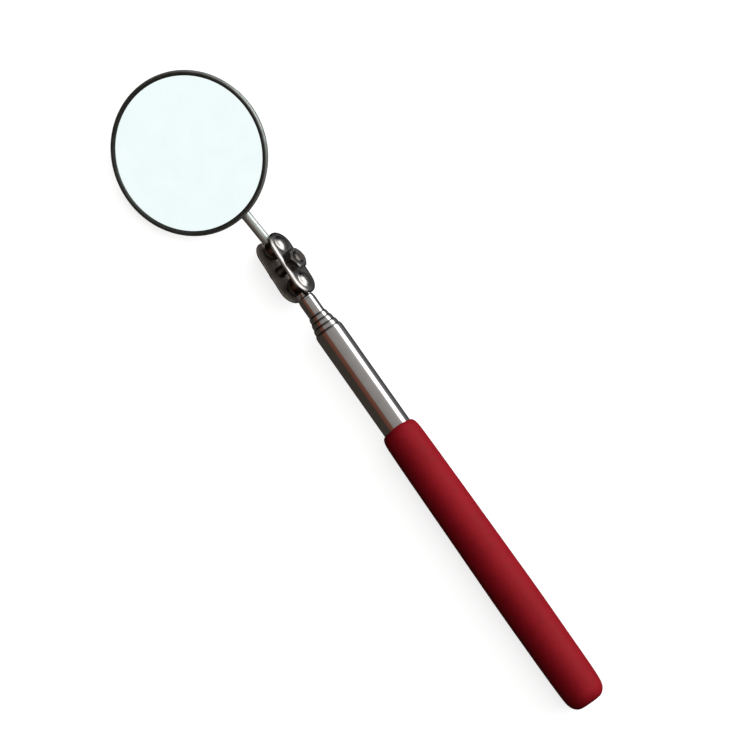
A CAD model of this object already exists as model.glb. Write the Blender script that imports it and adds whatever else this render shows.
"""Telescoping inspection mirror: the visible model, its materials, light and camera."""

import math

import bmesh
import bpy
from mathutils import Matrix, Vector, noise


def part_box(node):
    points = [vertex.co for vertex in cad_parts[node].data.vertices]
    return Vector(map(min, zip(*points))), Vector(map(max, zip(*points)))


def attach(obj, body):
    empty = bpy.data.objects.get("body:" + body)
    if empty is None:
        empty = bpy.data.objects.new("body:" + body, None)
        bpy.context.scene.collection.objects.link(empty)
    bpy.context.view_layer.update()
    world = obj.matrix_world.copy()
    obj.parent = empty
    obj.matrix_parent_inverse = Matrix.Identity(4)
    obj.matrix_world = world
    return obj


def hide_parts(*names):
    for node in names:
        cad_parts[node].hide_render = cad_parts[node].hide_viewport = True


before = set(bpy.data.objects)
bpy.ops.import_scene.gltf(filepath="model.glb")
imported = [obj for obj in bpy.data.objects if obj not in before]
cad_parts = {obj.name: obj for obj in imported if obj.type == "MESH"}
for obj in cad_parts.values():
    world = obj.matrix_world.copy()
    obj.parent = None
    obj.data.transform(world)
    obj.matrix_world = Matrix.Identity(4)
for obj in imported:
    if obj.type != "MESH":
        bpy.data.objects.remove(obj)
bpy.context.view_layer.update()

MM = 0.001

# Rest pose of the ball joints, in degrees
CLAMP_ROLL = 51.2
CLAMP_SWING = -4.5
MIRROR_SWING = 11.4
MIRROR_SPIN = -77.75

# Lengths are in millimetres from here on, unless a comment says otherwise

# Telescopic tubes, widest first, with their heights from the butt of the grip
TUBE_R = (5.2, 4.65, 4.125, 3.6, 3.075)
TUBE_WALL = 0.4
TUBE_MOUTH = (153.9, 156.0, 158.1, 160.2, 166.4)
TUBE_FOOT = (5.3, 8.0, 17.0, 26.0, 35.0)
TUBE_GAP = 0.06
FOOT_HOLE_R = 3.0
# The groove that holds a spring sleeve, from a sliding tube's foot
GROOVE_DEPTH = 0.33
GROOVE_START = 1.35
GROOVE_END = 7.4
GROOVE_SHOULDER = 7.75
# The rounded edge of a tube's mouth
BEAD_LENGTH = 1.75
BEAD_DROP = 0.43
BEAD_STEPS = 10

# Stem, with its heights from the butt of the grip
STEM_FOOT = 156.0
STEM_PLUG_R = 2.645
COLLAR_R = 2.95
COLLAR_HEIGHT = 0.55
SHOULDER_R = 2.75
SHOULDER = 167.5
NECK_R = 1.75

# Balls. A neck and its pin end at these distances from the ball's centre
LOWER_BALL = 172.25
BALL_SPACING = 14.9
BALL_R = 3.5
BALL_FLAT = 3.03
BALL_STEPS = 28
NECK_END = 3.08
PIN_R = 0.85
PIN_END = 0.9
PIN_HOLE_R = 0.9
PIN_HOLE_END = 0.7

# Clamp plates. Their inner faces are PLATE_FACE from the middle of the clamp
PLATE_LENGTH = 24.6
PLATE_WIDTH = 11.0
PLATE_FACE = 3.0
PLATE_THICKNESS = 1.2
PLATE_CROWN = 2.3
PLATE_CROWN_DROP = 0.85
DOME_R = 5.1
DOME_FILLET = 0.16
SOCKET_R = 3.62
SCREW_HOLE_R = 2.1

# Clamp screw and nut, which sit SEAT_GAP off the plates
SEAT_GAP = 0.02
SCREW_R = 1.95
SCREW_HEAD_R = 3.6
SCREW_HEAD_HEIGHT = 1.05
SCREW_TIP = 0.35
SLOT_SIZE = (1.2, 1.0, 9.0)
THREAD_START = 0.8
THREAD_PITCH = 0.7
THREAD_DEPTH = 0.3
THREAD_STEPS = 8
NUT_HEIGHT = 2.8
NUT_FLATS = 7.0
NUT_FACE_R = 3.3
NUT_BORE_R = 2.02
NUT_CHAMFER_R = 2.35
NUT_CHAMFER = 0.33

# Mirror head: the disc's middle and the rivets, from the centre of the upper ball
HEAD_CENTRE = 43.5
RIVETS = (21.5, 31.0)
RIVET_HOLE_R = 1.05
RIVET_SHANK_R = 1.0
RIVET_HEAD_R = 1.95
RIVET_HEAD_HEIGHT = 0.97
# Heights of the cup and the glass above the rod's own line
CUP_BACK = 1.8
CUP_FLOOR = 2.4
RIM_EDGE_R = 27.98
RIM_EDGE_START = 3.2
GLASS_R = 27.1
GLASS_BACK = 3.38
GLASS_FACE = 5.38

# Sides of a turned shape
SEGMENTS = 128
FINE_SEGMENTS = 256
SMALL_SEGMENTS = 64
TINY_SEGMENTS = 48


# ---------------------------------------------------------------- mesh helpers

def turn(angle, axis):
    """A rotation by an angle in degrees."""
    return Matrix.Rotation(math.radians(angle), 4, axis)


def along(distance):
    """A move along Z."""
    return Matrix.Translation((0.0, 0.0, distance * MM))


def rounded(points, steps=6):
    """A polyline from (radius, height, corner radius) points, each corner turned into an arc."""
    out = []
    for i, (x, y, *more) in enumerate(points):
        corner = more[0] if more else 0.0
        if not corner or i in (0, len(points) - 1):
            out.append((x, y))
            continue
        here = Vector((x, y))
        before = Vector(points[i - 1][:2]) - here
        after = Vector(points[i + 1][:2]) - here
        half = before.angle(after) / 2
        reach = min(corner / math.tan(half), before.length * 0.49, after.length * 0.49)
        start = here + before.normalized() * reach
        end = here + after.normalized() * reach
        for k in range(steps + 1):
            t = k / steps
            curve = start * (1 - t) ** 2 + here * 2 * t * (1 - t) + end * t ** 2
            out.append((curve.x, curve.y))
    return out


def smooth_line(points, between=5):
    """A Catmull-Rom curve through 2-D points."""
    pts = [Vector(p) for p in points]
    padded = [2 * pts[0] - pts[1], *pts, 2 * pts[-1] - pts[-2]]
    out = []
    for i in range(len(pts) - 1):
        a, b, c, d = padded[i:i + 4]
        for k in range(between):
            t = k / between
            spot = 0.5 * (2 * b + (c - a) * t + (2 * a - 5 * b + 4 * c - d) * t ** 2
                          + (3 * b - a - 3 * c + d) * t ** 3)
            out.append((spot.x, spot.y))
    out.append(tuple(pts[-1]))
    return out


def lathe(profile, closed=False, segments=SEGMENTS, axis="Z"):
    """Mesh data for a solid of revolution from (radius, height) points in millimetres."""
    bm = bmesh.new()
    rings = []
    for r, h in profile:
        if r < 1e-6:
            rings.append([bm.verts.new((0.0, 0.0, h * MM))])
            continue
        ring = []
        for i in range(segments):
            a = 2 * math.pi * i / segments
            ring.append(bm.verts.new((r * math.cos(a) * MM, r * math.sin(a) * MM, h * MM)))
        rings.append(ring)
    pairs = list(zip(rings, rings[1:]))
    if closed:
        pairs.append((rings[-1], rings[0]))
    for low, high in pairs:
        for i in range(segments):
            j = (i + 1) % segments
            if len(low) == 1 and len(high) == 1:
                break
            if len(low) == 1:
                bm.faces.new((low[0], high[j], high[i]))
            elif len(high) == 1:
                bm.faces.new((low[i], low[j], high[0]))
            else:
                bm.faces.new((low[i], low[j], high[j], high[i]))
    if axis == "X":
        bmesh.ops.rotate(bm, verts=bm.verts, cent=(0, 0, 0), matrix=turn(90.0, "Y").to_3x3())
    bmesh.ops.recalc_face_normals(bm, faces=bm.faces)
    return bm


def loft(rings, capped=True):
    """Mesh data for a skin over rings of points in millimetres."""
    bm = bmesh.new()
    loops = [[bm.verts.new(Vector(p) * MM) for p in ring] for ring in rings]
    for low, high in zip(loops, loops[1:]):
        for i in range(len(low)):
            j = (i + 1) % len(low)
            bm.faces.new((low[i], low[j], high[j], high[i]))
    if capped:
        bm.faces.new(loops[0])
        bm.faces.new(loops[-1])
    bmesh.ops.recalc_face_normals(bm, faces=bm.faces)
    return bm


def new_object(name, bm, world):
    """An object at the origin whose mesh is moved into the given frame."""
    bm.transform(world)
    mesh = bpy.data.meshes.new(name)
    bm.to_mesh(mesh)
    bm.free()
    made = bpy.data.objects.new(name, mesh)
    bpy.context.scene.collection.objects.link(made)
    return made


def apply_all(target):
    """Turns the object's modifiers into its own mesh."""
    bpy.context.view_layer.update()
    graph = bpy.context.evaluated_depsgraph_get()
    mesh = bpy.data.meshes.new_from_object(target.evaluated_get(graph))
    target.modifiers.clear()
    target.data = mesh


def cut(target, tools, operation="DIFFERENCE"):
    """Cuts the tools out of the target, or joins or intersects them with it, and deletes them."""
    for tool in tools:
        modifier = target.modifiers.new("cut", "BOOLEAN")
        modifier.operation = operation
        modifier.solver = "EXACT"
        modifier.object = tool
    apply_all(target)
    for tool in tools:
        bpy.data.objects.remove(tool, do_unlink=True)


def bevel(target, width, segments=2, angle=30.0):
    modifier = target.modifiers.new("edge", "BEVEL")
    modifier.width = width * MM
    modifier.segments = segments
    modifier.limit_method = "ANGLE"
    modifier.angle_limit = math.radians(angle)
    modifier.harden_normals = False
    apply_all(target)


def second_material(made, material, wanted):
    """Gives the faces that pass a test a material of their own."""
    made.data.materials.append(material)
    for polygon in made.data.polygons:
        if wanted(polygon):
            polygon.material_index = 1


def drill(name, radius, low, high, world, segments=TINY_SEGMENTS):
    """A round cutting tool along X of the given frame."""
    line = [(0.0, low), (radius, low), (radius, high), (0.0, high)]
    return new_object(name, lathe(line, segments=segments, axis="X"), world)


def finish_piece(made, node, body, material, sharp=35.0):
    """Shades a piece, gives it its material and puts it in place of its CAD node."""
    mesh = made.data
    mesh.polygons.foreach_set("use_smooth", [True] * len(mesh.polygons))
    mesh.set_sharp_from_angle(angle=math.radians(sharp))
    mesh.materials.clear()
    mesh.materials.append(material)
    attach(made, body)
    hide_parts(node)
    return made


# ---------------------------------------------------------------- frames

grip_low, grip_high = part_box("grip")
handle = Matrix.Translation((
    grip_high.x, (grip_low.y + grip_high.y) / 2, (grip_low.z + grip_high.z) / 2,
)) @ turn(-90.0, "Y")
stem_frame = handle @ along(LOWER_BALL)
lower = stem_frame @ turn(CLAMP_ROLL, "Z")
clamp = lower @ turn(CLAMP_SWING, "X")
middle = clamp @ along(BALL_SPACING / 2)
upper = clamp @ along(BALL_SPACING) @ turn(MIRROR_SWING, "X")
mirror = upper @ turn(MIRROR_SPIN, "Z")
disc = mirror @ along(HEAD_CENTRE)

# ---------------------------------------------------------------- materials

def node_material(name):
    made = bpy.data.materials.new(name)
    made.use_nodes = True
    tree = made.node_tree
    return made, tree, tree.nodes["Principled BSDF"]


def texture(tree, kind, scale, frame_of=None, stretch=(1.0, 1.0, 1.0), **settings):
    """A texture in a piece's local frame, with features of about 1/scale metres."""
    place = tree.nodes.new("ShaderNodeTexCoord")
    mapping = tree.nodes.new("ShaderNodeMapping")
    mapping.vector_type = "TEXTURE"
    if frame_of:
        mapping.inputs["Location"].default_value = frame_of.to_translation()
        mapping.inputs["Rotation"].default_value = frame_of.to_euler()
    mapping.inputs["Scale"].default_value = [1.0 / part for part in stretch]
    tree.links.new(place.outputs["Object"], mapping.inputs["Vector"])
    made = tree.nodes.new(kind)
    made.inputs["Scale"].default_value = scale
    for key, value in settings.items():
        made.inputs[key].default_value = value
    tree.links.new(mapping.outputs["Vector"], made.inputs["Vector"])
    return made


def mapped(tree, source, low, high, from_low=0.3, from_high=0.7, interpolation="LINEAR"):
    made = tree.nodes.new("ShaderNodeMapRange")
    made.interpolation_type = interpolation
    made.inputs["From Min"].default_value = from_low
    made.inputs["From Max"].default_value = from_high
    made.inputs["To Min"].default_value = low
    made.inputs["To Max"].default_value = high
    tree.links.new(source, made.inputs["Value"])
    return made.outputs["Result"]


def mixed(tree, factor, dark, light):
    made = tree.nodes.new("ShaderNodeMix")
    made.data_type = "RGBA"
    made.inputs["A"].default_value = (*dark, 1.0)
    made.inputs["B"].default_value = (*light, 1.0)
    tree.links.new(factor, made.inputs["Factor"])
    return made.outputs["Result"]


def add_bump(tree, shader, source, strength, depth):
    made = tree.nodes.new("ShaderNodeBump")
    made.inputs["Strength"].default_value = strength
    made.inputs["Distance"].default_value = depth
    tree.links.new(source, made.inputs["Height"])
    tree.links.new(made.outputs["Normal"], shader.inputs["Normal"])
    return made


def plated(
    name, dark, light, smooth, rough, scale, bump, frame_of=None, stretch=(1, 1, 1), metallic=1.0
):
    """Plated or polished steel: slight cloudiness in colour and polish, and fine marks."""
    made, tree, shader = node_material(name)
    shader.inputs["Metallic"].default_value = metallic
    cloud = texture(tree, "ShaderNodeTexNoise", 260.0, Detail=4.0, Roughness=0.6)
    marks = texture(
        tree, "ShaderNodeTexNoise", scale, frame_of, stretch, Detail=6.0, Roughness=0.7
    )
    colour = mixed(tree, mapped(tree, cloud.outputs["Fac"], 0.0, 1.0), dark, light)
    tree.links.new(colour, shader.inputs["Base Color"])
    polish = mapped(tree, marks.outputs["Fac"], smooth, rough)
    tree.links.new(polish, shader.inputs["Roughness"])
    add_bump(tree, shader, marks.outputs["Fac"], bump, 0.02 * MM)
    return made


VINYL_DARK = (0.205, 0.0045, 0.009)
VINYL_LIGHT = (0.262, 0.006, 0.013)


def vinyl():
    """Dipped vinyl: matte, faintly mottled, with a fine pebbled skin."""
    made, tree, shader = node_material("red_vinyl")
    mottle = texture(tree, "ShaderNodeTexNoise", 420.0, Detail=6.0, Roughness=0.75)
    broad = texture(tree, "ShaderNodeTexNoise", 45.0, Detail=2.0, Roughness=0.5)
    fine = mixed(tree, mapped(tree, mottle.outputs["Fac"], 0.0, 1.0), VINYL_DARK, VINYL_LIGHT)
    blend = tree.nodes.new("ShaderNodeMix")
    blend.data_type = "RGBA"
    blend.blend_type = "MULTIPLY"
    blend.inputs["Factor"].default_value = 1.0
    tone = mixed(
        tree, mapped(tree, broad.outputs["Fac"], 0.0, 1.0), (0.88, 0.88, 0.88), (1.0, 1.0, 1.0)
    )
    tree.links.new(fine, blend.inputs["A"])
    tree.links.new(tone, blend.inputs["B"])
    tree.links.new(blend.outputs["Result"], shader.inputs["Base Color"])
    polish = mapped(tree, mottle.outputs["Fac"], 0.5, 0.68)
    tree.links.new(polish, shader.inputs["Roughness"])
    shader.inputs["Specular IOR Level"].default_value = 0.11
    pebble = texture(tree, "ShaderNodeTexNoise", 1500.0, Detail=5.0, Roughness=0.65)
    add_bump(tree, shader, pebble.outputs["Fac"], 0.35, 0.05 * MM)
    return made


def silvered():
    """Front of the mirror: faintly green, with a trace of dust in its polish."""
    made, tree, shader = node_material("silvered_glass")
    shader.inputs["Metallic"].default_value = 1.0
    dust = texture(tree, "ShaderNodeTexNoise", 120.0, Detail=5.0, Roughness=0.6)
    colour = mixed(
        tree, mapped(tree, dust.outputs["Fac"], 0.0, 1.0), (0.785, 0.95, 0.965), (0.81, 0.97, 0.985)
    )
    tree.links.new(colour, shader.inputs["Base Color"])
    tree.links.new(mapped(tree, dust.outputs["Fac"], 0.012, 0.03), shader.inputs["Roughness"])
    return made


def foam():
    made, tree, shader = node_material("pad_foam")
    cells = texture(tree, "ShaderNodeTexVoronoi", 1600.0)
    colour = mixed(
        tree, mapped(tree, cells.outputs["Distance"], 0.0, 1.0, 0.0, 0.8), (0.55, 0.55, 0.52),
        (0.8, 0.8, 0.77),
    )
    tree.links.new(colour, shader.inputs["Base Color"])
    shader.inputs["Roughness"].default_value = 0.9
    add_bump(tree, shader, cells.outputs["Distance"], 0.5, 0.1 * MM)
    return made


# Stretch of the marks in a finish
LENGTHWISE = (1.0, 1.0, 0.03)
ROUNDWISE = (0.12, 0.12, 1.0)
ROD_WISE = (1.0, 1.0, 0.3)

# Each finish: darkest and lightest colour, least and most roughness, scale and strength of the marks
vinyl_mat = vinyl()
chrome_mat = plated(
    "tube_chrome", (0.78, 0.76, 0.74), (0.86, 0.85, 0.84), 0.05, 0.11, 2600.0, 0.05,
    handle, LENGTHWISE,
)
stem_mat = plated(
    "stem_nickel", (0.74, 0.76, 0.74), (0.84, 0.86, 0.84), 0.12, 0.22, 2600.0, 0.06,
    handle, ROUNDWISE,
)
clamp_mat = plated(
    "clamp_dark_nickel", (0.34, 0.325, 0.31), (0.52, 0.50, 0.48), 0.14, 0.28, 1500.0, 0.14
)
inner_mat = plated(
    "clamp_inner_faces", (0.25, 0.215, 0.185), (0.48, 0.42, 0.37), 0.38, 0.55, 1500.0, 0.25,
    metallic=0.75,
)
hardware_mat = plated(
    "hardware_nickel", (0.34, 0.325, 0.31), (0.48, 0.465, 0.45), 0.16, 0.28, 1700.0, 0.1
)
screw_mat = plated(
    "screw_dark_nickel", (0.13, 0.12, 0.11), (0.22, 0.2, 0.185), 0.3, 0.45, 1700.0, 0.15
)
ball_mat = plated(
    "ball_steel", (0.15, 0.115, 0.1), (0.25, 0.2, 0.175), 0.22, 0.34, 1700.0, 0.1
)
rod_mat = plated(
    "rod_zinc", (0.60, 0.67, 0.63), (0.80, 0.86, 0.83), 0.3, 0.5, 2200.0, 0.22, mirror,
    ROD_WISE, metallic=0.85,
)
rim_mat = plated(
    "rim_dark_lacquer", (0.07, 0.08, 0.075), (0.12, 0.135, 0.125), 0.22, 0.36, 1500.0, 0.1,
    metallic=0.7,
)
rim_edge_mat = plated(
    "rim_worn_edge", (0.34, 0.37, 0.35), (0.48, 0.52, 0.49), 0.34, 0.5, 1500.0, 0.15,
    metallic=0.8,
)
rivet_mat = plated(
    "rivet_zinc", (0.5, 0.5, 0.48), (0.62, 0.62, 0.6), 0.22, 0.36, 1700.0, 0.12
)
brass_mat = plated(
    "sleeve_brass", (0.55, 0.36, 0.14), (0.68, 0.47, 0.2), 0.25, 0.4, 1500.0, 0.1,
    handle, LENGTHWISE,
)
glass_mat = silvered()
foam_mat = foam()

# ---------------------------------------------------------------- grip

# (height, radius) along the grip's outside
GRIP_LINE = (
    (0.0, 2.9), (0.3, 4.35), (1.2, 5.7), (2.8, 6.7), (5.2, 7.18), (9.6, 7.37),
    (19.2, 7.5), (41.0, 7.6), (54.7, 7.5), (75.2, 7.3), (94.4, 7.1), (105.3, 6.93),
    (109.4, 6.8), (111.4, 6.5), (112.5, 6.02), (112.9, 5.6),
)
GRIP_INSIDE_R = 5.3
# The dipped edge is uneven above GRIP_MOUTH, and the skin waves a little all over
GRIP_MOUTH = 104.0
GRIP_MOUTH_LENGTH = 9.0
GRIP_MOUTH_DROP = 0.3
GRIP_WAVE = 0.035
GRIP_WAVES_PER_METRE = 130.0

skin = smooth_line([(r, u) for u, r in GRIP_LINE], 7)
grip_profile = [(0.0, 0.0), (1.4, 0.0)] + skin
grip_profile += [(5.38, 112.86), (5.25, 112.6), (5.24, 111.0), (5.24, 5.0), (0.0, 5.0)]
grip_mesh = lathe(grip_profile)
for vert in grip_mesh.verts:
    r = math.hypot(vert.co.x, vert.co.y) / MM
    u = vert.co.z / MM
    if r < GRIP_INSIDE_R:
        continue
    angle = math.atan2(vert.co.y, vert.co.x)
    near_mouth = max(0.0, (u - GRIP_MOUTH) / GRIP_MOUTH_LENGTH) ** 2
    sag = near_mouth * (0.22 * math.sin(2 * angle + 0.7) + 0.13 * math.sin(3 * angle + 2.1))
    spot = Vector((vert.co.x, vert.co.y, vert.co.z * 0.5)) * GRIP_WAVES_PER_METRE
    wave = GRIP_WAVE * noise.noise(spot) - GRIP_WAVE
    vert.co.z += (sag - GRIP_MOUTH_DROP * near_mouth) * MM
    vert.co.x *= 1 + wave / r
    vert.co.y *= 1 + wave / r
grip = new_object("grip_skin", grip_mesh, handle)
finish_piece(grip, "grip", "handle", vinyl_mat, 50.0)

# ---------------------------------------------------------------- tubes

for index, outer in enumerate(TUBE_R):
    inner = outer - TUBE_WALL
    mouth = TUBE_MOUTH[index]
    foot = TUBE_FOOT[index]
    last = index == len(TUBE_R) - 1
    throat = inner if last else TUBE_R[index + 1] + TUBE_GAP
    if index == 0:
        low = [(FOOT_HOLE_R, foot, 0), (outer, foot, 0.5)]
        back = [(inner, foot + TUBE_WALL, 0.3), (FOOT_HOLE_R, foot + TUBE_WALL, 0)]
    else:
        waist = outer - GROOVE_DEPTH
        low = [
            (outer - 0.08, foot, 0.1), (outer - 0.05, foot + 1.0, 0.1),
            (waist, foot + GROOVE_START, 0.15), (waist, foot + GROOVE_END, 0.15),
            (outer, foot + GROOVE_SHOULDER, 0.15),
        ]
        back = [
            (inner, foot + GROOVE_SHOULDER, 0.15), (inner - GROOVE_DEPTH, foot + GROOVE_END, 0.15),
            (inner - GROOVE_DEPTH, foot, 0),
        ]
    if last:
        top = [(outer, mouth, 0.12), (throat, mouth, 0.06)]
    else:
        top = [
            (outer - BEAD_DROP * (1 - math.cos(a)), mouth - BEAD_LENGTH * (1 - math.sin(a)))
            for a in (math.pi / 2 * i / BEAD_STEPS for i in range(BEAD_STEPS + 1))
        ]
        top += [(throat, mouth), (throat, mouth - 1.2, 0.1), (inner, mouth - 1.6, 0.1)]
    wall = lathe(rounded(low + top + back), closed=True)
    tube = new_object(f"tube_{index + 1}_wall", wall, handle)
    body = "handle" if index == 0 else f"stage_{index + 1}"
    finish_piece(tube, f"tube_{index + 1}", body, chrome_mat, 40.0)

for number in range(2, 6):
    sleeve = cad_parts[f"sleeve_{number}"]
    sleeve.data.materials.clear()
    sleeve.data.materials.append(brass_mat)

# ---------------------------------------------------------------- stem and balls

collar = TUBE_MOUTH[-1] + 0.03 - LOWER_BALL
shoulder = SHOULDER - LOWER_BALL
stem_foot = STEM_FOOT - LOWER_BALL
stem_profile = rounded([
    (0.0, stem_foot), (STEM_PLUG_R, stem_foot, 0.3), (STEM_PLUG_R, collar),
    (COLLAR_R, collar, 0.08), (COLLAR_R, collar + COLLAR_HEIGHT, 0.25),
    (SHOULDER_R, shoulder, 0.25), (NECK_R, shoulder, 0.12), (NECK_R, -NECK_END, 0.08),
    (PIN_R, -NECK_END), (PIN_R, -PIN_END, 0.2), (0.0, -PIN_END),
])
stem = new_object("ball_stem_turned", lathe(stem_profile, segments=96), stem_frame)
finish_piece(stem, "ball_stem", "stage_5", stem_mat, 40.0)


def ball_piece(name, node, world, towards):
    """A ball with a flat, and a hole in the flat, on the side that faces its stem or rod."""
    edge = math.acos(BALL_FLAT / BALL_R)
    line = []
    for i in range(BALL_STEPS + 1):
        a = math.pi + (edge - math.pi) * i / BALL_STEPS
        line.append((abs(BALL_R * math.sin(a)), BALL_R * math.cos(a)))
    line[0] = (0.0, -BALL_R)
    line += [(PIN_HOLE_R, BALL_FLAT), (PIN_HOLE_R, PIN_HOLE_END), (0.0, PIN_HOLE_END)]
    turned = lathe([(r, towards * h) for r, h in line], segments=SMALL_SEGMENTS)
    made = new_object(name, turned, world)
    return finish_piece(made, node, node, ball_mat, 40.0)


ball_piece("lower_ball_steel", "lower_ball", lower, -1)
ball_piece("upper_ball_steel", "upper_ball", upper, 1)

# ---------------------------------------------------------------- clamp plates

PLATE_STEPS = 40
CROWN_STEPS = 14
TOP_RINGS = 12
SOCKET_STEPS = 32


def plate_piece(name, node, side, body):
    """A stamped plate: rounded outer edges, a dome over each ball and a socket under it."""
    reach = (PLATE_LENGTH - PLATE_WIDTH) / 2
    half = PLATE_WIDTH / 2
    rim = []
    for way in (1, -1):
        for i in range(PLATE_STEPS + 1):
            a = math.pi * i / PLATE_STEPS
            rim.append((way * reach, way * math.cos(a), way * math.sin(a)))
        for i in range(1, PLATE_STEPS):
            t = i / PLATE_STEPS
            rim.append((way * reach * (1 - 2 * t), -way, 0.0))
    top = PLATE_FACE + PLATE_THICKNESS
    levels = [(half - 0.12, PLATE_FACE), (half, PLATE_FACE + 0.1)]
    for i in range(CROWN_STEPS + 1):
        a = math.pi / 2 * i / CROWN_STEPS
        drop = PLATE_CROWN_DROP * (1 - math.sin(a))
        levels.append((half - PLATE_CROWN * (1 - math.cos(a)), top - drop))
    inner = levels[-1][0]
    for i in range(1, TOP_RINGS + 1):
        levels.append((inner * (1 - i / TOP_RINGS), top))
    rings = []
    for radius, height in levels:
        ring = []
        for spine, ny, nz in rim:
            y = radius * ny
            z = spine + radius * nz
            lift = 0.0
            for centre in (-BALL_SPACING / 2, BALL_SPACING / 2):
                d = math.hypot(y, z - centre)
                if height > PLATE_FACE + 0.3 and d < DOME_R:
                    rise = math.sqrt(DOME_R ** 2 - d ** 2) - height
                    lift += (rise + math.hypot(rise, DOME_FILLET)) / 2
            ring.append((side * (height + lift), y, z))
        rings.append(ring)
    bm = loft(rings, capped=False)
    low = [v for v in bm.verts if abs(abs(v.co.x) / MM - PLATE_FACE) < 1e-4]
    edges = [e for e in bm.edges if e.is_boundary and all(v in low for v in e.verts)]
    bmesh.ops.holes_fill(bm, edges=edges, sides=0)
    bmesh.ops.remove_doubles(bm, verts=bm.verts, dist=0.002 * MM)
    bmesh.ops.dissolve_degenerate(bm, edges=bm.edges, dist=0.001 * MM)
    bmesh.ops.recalc_face_normals(bm, faces=bm.faces)
    made = new_object(name, bm, middle)
    angles = [math.pi * i / SOCKET_STEPS for i in range(SOCKET_STEPS + 1)]
    socket = [(SOCKET_R * math.sin(a), SOCKET_R * math.cos(a)) for a in angles]
    socket[0] = (0.0, SOCKET_R)
    socket[-1] = (0.0, -SOCKET_R)
    tools = [
        new_object(
            f"socket_{way}", lathe(socket, segments=SMALL_SEGMENTS, axis="X"),
            middle @ along(way * BALL_SPACING / 2),
        ) for way in (-1, 1)
    ]
    tools.append(drill("screw_hole", SCREW_HOLE_R, -8.0, 8.0, middle, SMALL_SEGMENTS))
    cut(made, tools)
    finish_piece(made, node, body, clamp_mat, 38.0)
    inward = middle.to_3x3() @ Vector((-side, 0.0, 0.0))
    second_material(made, inner_mat, lambda polygon: polygon.normal.dot(inward) > 0.3)
    return made


plate_piece("front_plate_stamped", "clamp_plate_front", 1, "front_plate")
plate_piece("back_plate_stamped", "clamp_plate_back", -1, "clamp")

# ---------------------------------------------------------------- screw and nut

seat = PLATE_FACE + PLATE_THICKNESS + SEAT_GAP
head = -seat - SCREW_HEAD_HEIGHT
end = seat + NUT_HEIGHT + SCREW_TIP
screw_line = rounded([
    (0.0, head), (SCREW_HEAD_R, head, 0.5), (SCREW_HEAD_R, -seat, 0.1),
    (SCREW_R - 0.02, -seat, 0.1),
])
thread_low = -seat + THREAD_START
for i in range(int((end - 0.3 - thread_low) / THREAD_PITCH * THREAD_STEPS)):
    screw_line.append((SCREW_R, thread_low + i * THREAD_PITCH / THREAD_STEPS))
screw_line += [(SCREW_R - 0.05, end - 0.28), (SCREW_R - 0.3, end), (0.0, end)]
screw_mesh = lathe(screw_line, segments=SMALL_SEGMENTS, axis="X")
for vert in screw_mesh.verts:
    h = vert.co.x / MM
    r = math.hypot(vert.co.y, vert.co.z) / MM
    if h < thread_low - 0.01 or r < 1.0:
        continue
    turns = h / THREAD_PITCH - math.atan2(vert.co.z, vert.co.y) / (2 * math.pi)
    depth = THREAD_DEPTH * abs(2 * (turns % 1.0) - 1.0) * min(1.0, (h - thread_low) / 0.5)
    vert.co.y *= 1 - depth / r
    vert.co.z *= 1 - depth / r
screw = new_object("clamp_screw_threaded", screw_mesh, middle)
slot_mesh = bmesh.new()
bmesh.ops.create_cube(slot_mesh, size=1.0)
bmesh.ops.scale(slot_mesh, vec=Vector(SLOT_SIZE) * MM, verts=slot_mesh.verts)
bmesh.ops.translate(slot_mesh, vec=Vector((head, 0.0, 0.0)) * MM, verts=slot_mesh.verts)
cut(screw, [new_object("slot_tool", slot_mesh, middle)])
finish_piece(screw, "clamp_screw", "clamp", screw_mat, 40.0)

corner = NUT_FLATS / math.sqrt(3.0)
top = seat + NUT_HEIGHT
corners = [math.radians(60 * i) for i in range(6)]
prism = [[(h, corner * math.cos(a), corner * math.sin(a)) for a in corners] for h in (seat, top)]
nut = new_object("clamp_nut_hexagon", loft(prism), middle)
crown = [
    (0.0, seat - 0.1), (corner - 0.25, seat - 0.1), (corner + 0.05, seat + 0.35),
    (corner + 0.05, top - 0.45), (NUT_FACE_R, top + 0.02), (0.0, top + 0.02),
]
bore = rounded([
    (0.0, seat - 1.0), (NUT_CHAMFER_R, seat - 1.0), (NUT_CHAMFER_R, seat),
    (NUT_BORE_R, seat + NUT_CHAMFER), (NUT_BORE_R, top - NUT_CHAMFER), (NUT_CHAMFER_R, top),
    (NUT_CHAMFER_R, top + 1.0), (0.0, top + 1.0),
])
cut(nut, [new_object("crown_tool", lathe(crown, segments=96, axis="X"), middle)], "INTERSECT")
cut(nut, [new_object("bore_tool", lathe(bore, segments=SMALL_SEGMENTS, axis="X"), middle)])
bevel(nut, 0.09, 2, 25.0)
finish_piece(nut, "clamp_nut", "nut", hardware_mat, 30.0)

# ---------------------------------------------------------------- rod

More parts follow.
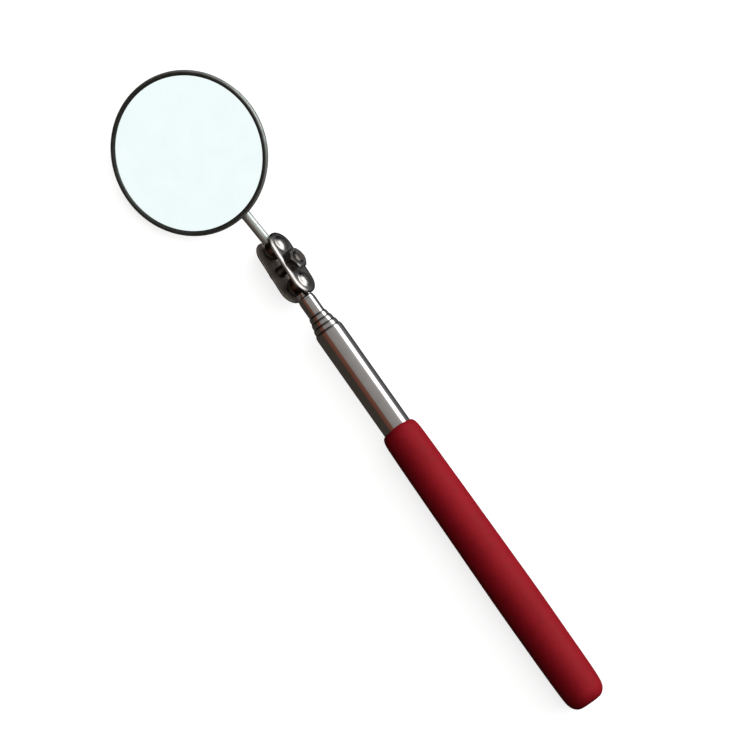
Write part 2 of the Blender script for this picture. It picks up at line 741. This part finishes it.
# (distance from the ball's centre, half width, half thickness, offset towards the mirror's face)
ROD_LINE = (
    (3.08, 1.55, 1.55, 0.0), (3.3, 1.75, 1.75, 0.0), (9.0, 1.75, 1.75, 0.0),
    (14.6, 1.75, 1.75, 0.0), (15.4, 1.83, 1.64, 0.08), (16.4, 2.1, 1.36, 0.34),
    (17.6, 2.6, 1.02, 0.7), (18.8, 3.0, 0.83, 0.92), (19.8, 3.1, 0.8, 0.95),
    (25.0, 3.1, 0.8, 0.95), (33.2, 3.1, 0.8, 0.95), (34.6, 2.98, 0.8, 0.95),
    (35.8, 2.6, 0.8, 0.95), (36.6, 2.0, 0.8, 0.95), (36.95, 1.2, 0.78, 0.95),
    (37.0, 0.9, 0.7, 0.95),
)
rod_rings = []
for position, half_width, half_thickness, offset in ROD_LINE:
    flatness = min(1.0, max(0.0, (half_width - half_thickness) / 2.0))
    power = 1.0 - 0.62 * flatness
    ring = []
    for i in range(TINY_SEGMENTS):
        a = 2 * math.pi * (i + 0.5) / TINY_SEGMENTS
        c = math.cos(a)
        s = math.sin(a)
        ring.append((
            offset + half_thickness * math.copysign(abs(c) ** power, c),
            half_width * math.copysign(abs(s) ** power, s), position,
        ))
    rod_rings.append(ring)
rod = new_object("mirror_rod_flattened", loft(rod_rings), mirror)
pin_line = [
    (0.0, PIN_END), (PIN_R - 0.15, PIN_END), (PIN_R, PIN_END + 0.2), (PIN_R, 6.0), (0.0, 6.0),
]
pin = new_object("pin_tool", lathe(pin_line, segments=TINY_SEGMENTS), mirror)
cut(rod, [pin], "UNION")
cut(rod, [
    drill(f"rivet_tool_{i}", RIVET_HOLE_R, -4.0, 4.0, mirror @ along(position))
    for i, position in enumerate(RIVETS)
])
finish_piece(rod, "mirror_rod", "mirror_head", rod_mat, 40.0)

for number, position in enumerate(RIVETS, 1):
    angles = [math.radians(a) for a in range(0, 91, 9)]
    dome = [
        (RIVET_HEAD_R * math.sin(a), 0.12 - RIVET_HEAD_HEIGHT * math.cos(a)) for a in angles
    ]
    dome[0] = (0.0, 0.12 - RIVET_HEAD_HEIGHT)
    line = dome + [
        (RIVET_SHANK_R, 0.12), (RIVET_SHANK_R, 2.43), (1.6, 2.43), (1.5, 2.8), (0.0, 2.8),
    ]
    rivet = new_object(
        f"rivet_{number}_domed", lathe(line, segments=TINY_SEGMENTS, axis="X"),
        mirror @ along(position),
    )
    finish_piece(rivet, f"rivet_{number}", "mirror_head", rivet_mat, 40.0)

# ---------------------------------------------------------------- mirror head

def arc(cx, cy, radius, start, stop, steps):
    """Points on an arc round (cx, cy), with its angles in degrees."""
    out = []
    for i in range(steps + 1):
        a = math.radians(start + (stop - start) * i / steps)
        out.append((cx + radius * math.cos(a), cy + radius * math.sin(a)))
    return out


# The pan's back and wall, then the bead that is rolled over the edge of the glass
cup_line = [(0.0, CUP_BACK), (13.0, CUP_BACK), (26.4, CUP_BACK)]
cup_line += arc(26.7, 3.0, 1.2, -80, 0, 10)
cup_line += [(27.92, 4.0), (28.0, 4.35)]
cup_line += arc(27.62, 5.06, 0.95, -25, 172, 26)
cup_line += [(26.72, 5.42), (27.3, 5.42), (27.3, 3.2)]
cup_line += arc(26.6, 3.1, 0.7, 0, -90, 6)
cup_line += [(0.0, CUP_FLOOR)]
cup_mesh = lathe(cup_line, segments=FINE_SEGMENTS, axis="X")
cup = new_object("mirror_cup_rolled", cup_mesh, disc)
cut(cup, [
    drill(f"cup_tool_{i}", RIVET_HOLE_R, 0.0, 3.0, mirror @ along(position))
    for i, position in enumerate(RIVETS)
])
finish_piece(cup, "mirror_cup", "mirror_head", rim_mat, 40.0)
into_disc = disc.inverted()


def on_rim_edge(polygon):
    spot = into_disc @ polygon.center
    return math.hypot(spot.y, spot.z) > RIM_EDGE_R * MM and spot.x > RIM_EDGE_START * MM


second_material(cup, rim_edge_mat, on_rim_edge)

glass_line = [
    (0.0, GLASS_BACK), (GLASS_R - 0.1, GLASS_BACK), (GLASS_R, GLASS_BACK + 0.1),
    (GLASS_R, GLASS_FACE - 0.12), (GLASS_R - 0.12, GLASS_FACE), (0.0, GLASS_FACE),
]
glass_mesh = lathe(glass_line, segments=FINE_SEGMENTS, axis="X")
glass = new_object("mirror_glass_disc", glass_mesh, disc)
finish_piece(glass, "mirror_glass", "mirror_head", glass_mat, 30.0)

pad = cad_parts["mirror_pad"]
pad.data.materials.clear()
pad.data.materials.append(foam_mat)

# ---------------------------------------------------------------- floor, light, camera

# The floor, in metres, lies just under the object, and shows only to the camera
FLOOR_SIZE = 6.0
FLOOR_DROP = 0.0002
FLOOR_GREY = 0.42
FLOOR_GLOW = 0.79

bpy.ops.mesh.primitive_plane_add(size=FLOOR_SIZE, location=(0.0, 0.0, -FLOOR_DROP))
floor = bpy.context.object
floor.name = "floor"
floor_mat, _, floor_shader = node_material("floor_paper")
floor_shader.inputs["Base Color"].default_value = (FLOOR_GREY, FLOOR_GREY, FLOOR_GREY, 1.0)
floor_shader.inputs["Roughness"].default_value = 0.9
floor_shader.inputs["Specular IOR Level"].default_value = 0.1
floor_shader.inputs["Emission Color"].default_value = (1.0, 1.0, 1.0, 1.0)
floor_shader.inputs["Emission Strength"].default_value = FLOOR_GLOW
floor.data.materials.append(floor_mat)
floor.visible_glossy = False
floor.visible_diffuse = False

# Angles in degrees, distances in metres
CAMERA_AZIMUTH = 55.03
CAMERA_ELEVATION = 82.5
CAMERA_DISTANCE = 0.95
VIEW_WIDTH = 0.2546
SENSOR = 36.0
AIM_ALONG = 0.1319
AIM_ASIDE = 0.0042
AIM = handle.translation + Vector((-AIM_ALONG, AIM_ASIDE, 0.0))

azimuth = math.radians(CAMERA_AZIMUTH)
elevation = math.radians(CAMERA_ELEVATION)
towards_camera = Vector((
    math.sin(azimuth) * math.cos(elevation), -math.cos(azimuth) * math.cos(elevation),
    math.sin(elevation),
))
camera_data = bpy.data.cameras.new("camera")
camera_data.sensor_width = SENSOR
camera_data.lens = SENSOR * CAMERA_DISTANCE / VIEW_WIDTH
camera_data.clip_start = 0.01
camera_data.clip_end = 20.0
camera = bpy.data.objects.new("camera", camera_data)
camera.location = AIM + towards_camera * CAMERA_DISTANCE
camera.rotation_euler = towards_camera.to_track_quat("Z", "Y").to_euler()
bpy.context.scene.collection.objects.link(camera)
bpy.context.scene.camera = camera


def area_light(name, location, target, size, power, glossy=True, diffuse=True, shape="RECTANGLE"):
    """A lamp that the camera doesn't see, with its size in metres and its power in watts."""
    data = bpy.data.lights.new(name, "AREA")
    data.shape = shape
    data.size, data.size_y = size
    data.energy = power
    made = bpy.data.objects.new(name, data)
    made.location = location
    aim = Vector(location) - Vector(target)
    made.rotation_euler = aim.to_track_quat("Z", "Y").to_euler()
    made.visible_camera = False
    made.visible_glossy = glossy
    made.visible_diffuse = diffuse
    bpy.context.scene.collection.objects.link(made)
    return made


# Broad soft light from above and from the +Y side, kept out of the reflections
OVERHEAD_POWER = 13.0
SIDE_POWER = 12.0
area_light(
    "overhead", (0.0, 0.55, 1.25), (0, 0, 0), (1.8, 1.5), OVERHEAD_POWER, glossy=False
)
area_light("side", (0.1, 1.15, 0.5), (0, 0, 0), (1.6, 0.8), SIDE_POWER, glossy=False)

# The white card that the glass shows to the camera. It lights nothing but the glass
CARD_DISTANCE = 0.12
CARD_RADIANCE = 0.96
CARD_SIZE = 0.072
normal = disc.to_3x3() @ Vector((1.0, 0.0, 0.0))
glass_centre = disc @ Vector((GLASS_FACE * MM, 0.0, 0.0))
view = (camera.location - glass_centre).normalized()
bounce = 2 * normal.dot(view) * normal - view
card = area_light(
    "card", glass_centre + bounce * CARD_DISTANCE, glass_centre, (CARD_SIZE, CARD_SIZE),
    CARD_RADIANCE * math.pi * math.pi * CARD_SIZE ** 2 / 4, diffuse=False, shape="ELLIPSE",
)
card_receivers = bpy.data.collections.new("card_receivers")
card_receivers.objects.link(glass)
card.light_linking.receiver_collection = card_receivers

# ---------------------------------------------------------------- surroundings

# Colour by the angle in degrees from straight up towards +Y, for what the plating reflects
SKY = (
    (-180, (0.04, 0.035, 0.03)), (-64, (0.045, 0.037, 0.03)), (-56, (0.13, 0.045, 0.028)),
    (-32, (0.15, 0.065, 0.045)), (-22, (0.24, 0.23, 0.22)), (36, (0.32, 0.31, 0.305)),
    (50, (0.42, 0.42, 0.42)), (61, (1.0, 1.0, 1.0)), (82, (1.0, 1.0, 1.0)),
    (92, (0.2, 0.2, 0.215)), (118, (0.1, 0.097, 0.105)), (150, (0.05, 0.045, 0.04)),
    (180, (0.04, 0.035, 0.03)),
)
# The ends, where |X| is large, are dimmer
ENDS_START = 0.26
ENDS_FULL = 0.6
ENDS_GAIN = 0.12
# The white stretch is a bright soft box for reflections, and dimmer as a light on matt surfaces
SOFT_BOX_LEVEL = 0.5
SOFT_BOX_GAIN = 3.0
MATT_GAIN = 1.3

world = bpy.data.worlds.new("surroundings")
bpy.context.scene.world = world
world.use_nodes = True
sky = world.node_tree
background = sky.nodes["Background"]


def sky_math(operation, *sources):
    made = sky.nodes.new("ShaderNodeMath")
    made.operation = operation
    for socket, source in zip(made.inputs, sources):
        sky.links.new(source, socket)
    return made.outputs["Value"]


place = sky.nodes.new("ShaderNodeTexCoord")
split = sky.nodes.new("ShaderNodeSeparateXYZ")
sky.links.new(place.outputs["Generated"], split.inputs["Vector"])
angle = sky_math("ARCTAN2", split.outputs["Y"], split.outputs["Z"])
ramp = sky.nodes.new("ShaderNodeValToRGB")
sky.links.new(mapped(sky, angle, 0.0, 1.0, -math.pi, math.pi), ramp.inputs["Fac"])
while len(ramp.color_ramp.elements) < len(SKY):
    ramp.color_ramp.elements.new(0.5)
for element, (degrees, colour) in zip(ramp.color_ramp.elements, SKY):
    element.position = (degrees + 180) / 360
# Moving an element can change the order, so the colours follow on their own
for element, (degrees, colour) in zip(ramp.color_ramp.elements, SKY):
    element.color = (*colour, 1.0)

sideways = sky_math("ABSOLUTE", split.outputs["X"])
dimming = mapped(sky, sideways, 1.0, ENDS_GAIN, ENDS_START, ENDS_FULL, "SMOOTHSTEP")
dimmed = sky.nodes.new("ShaderNodeVectorMath")
dimmed.operation = "SCALE"
sky.links.new(ramp.outputs["Color"], dimmed.inputs["Vector"])
sky.links.new(dimming, dimmed.inputs["Scale"])
sky.links.new(dimmed.outputs["Vector"], background.inputs["Color"])

brightness = sky.nodes.new("ShaderNodeSeparateColor")
sky.links.new(ramp.outputs["Color"], brightness.inputs["Color"])
boost = mapped(sky, brightness.outputs["Green"], 1.0, SOFT_BOX_GAIN, SOFT_BOX_LEVEL, 1.0)
rays = sky.nodes.new("ShaderNodeLightPath")
gain = sky.nodes.new("ShaderNodeMix")
sky.links.new(rays.outputs["Is Diffuse Ray"], gain.inputs["Factor"])
sky.links.new(boost, gain.inputs["A"])
gain.inputs["B"].default_value = MATT_GAIN
sky.links.new(gain.outputs["Result"], background.inputs["Strength"])

# ---------------------------------------------------------------- size and end

bpy.context.scene.view_settings.view_transform = "Standard"
bpy.context.scene.view_settings.look = "None"
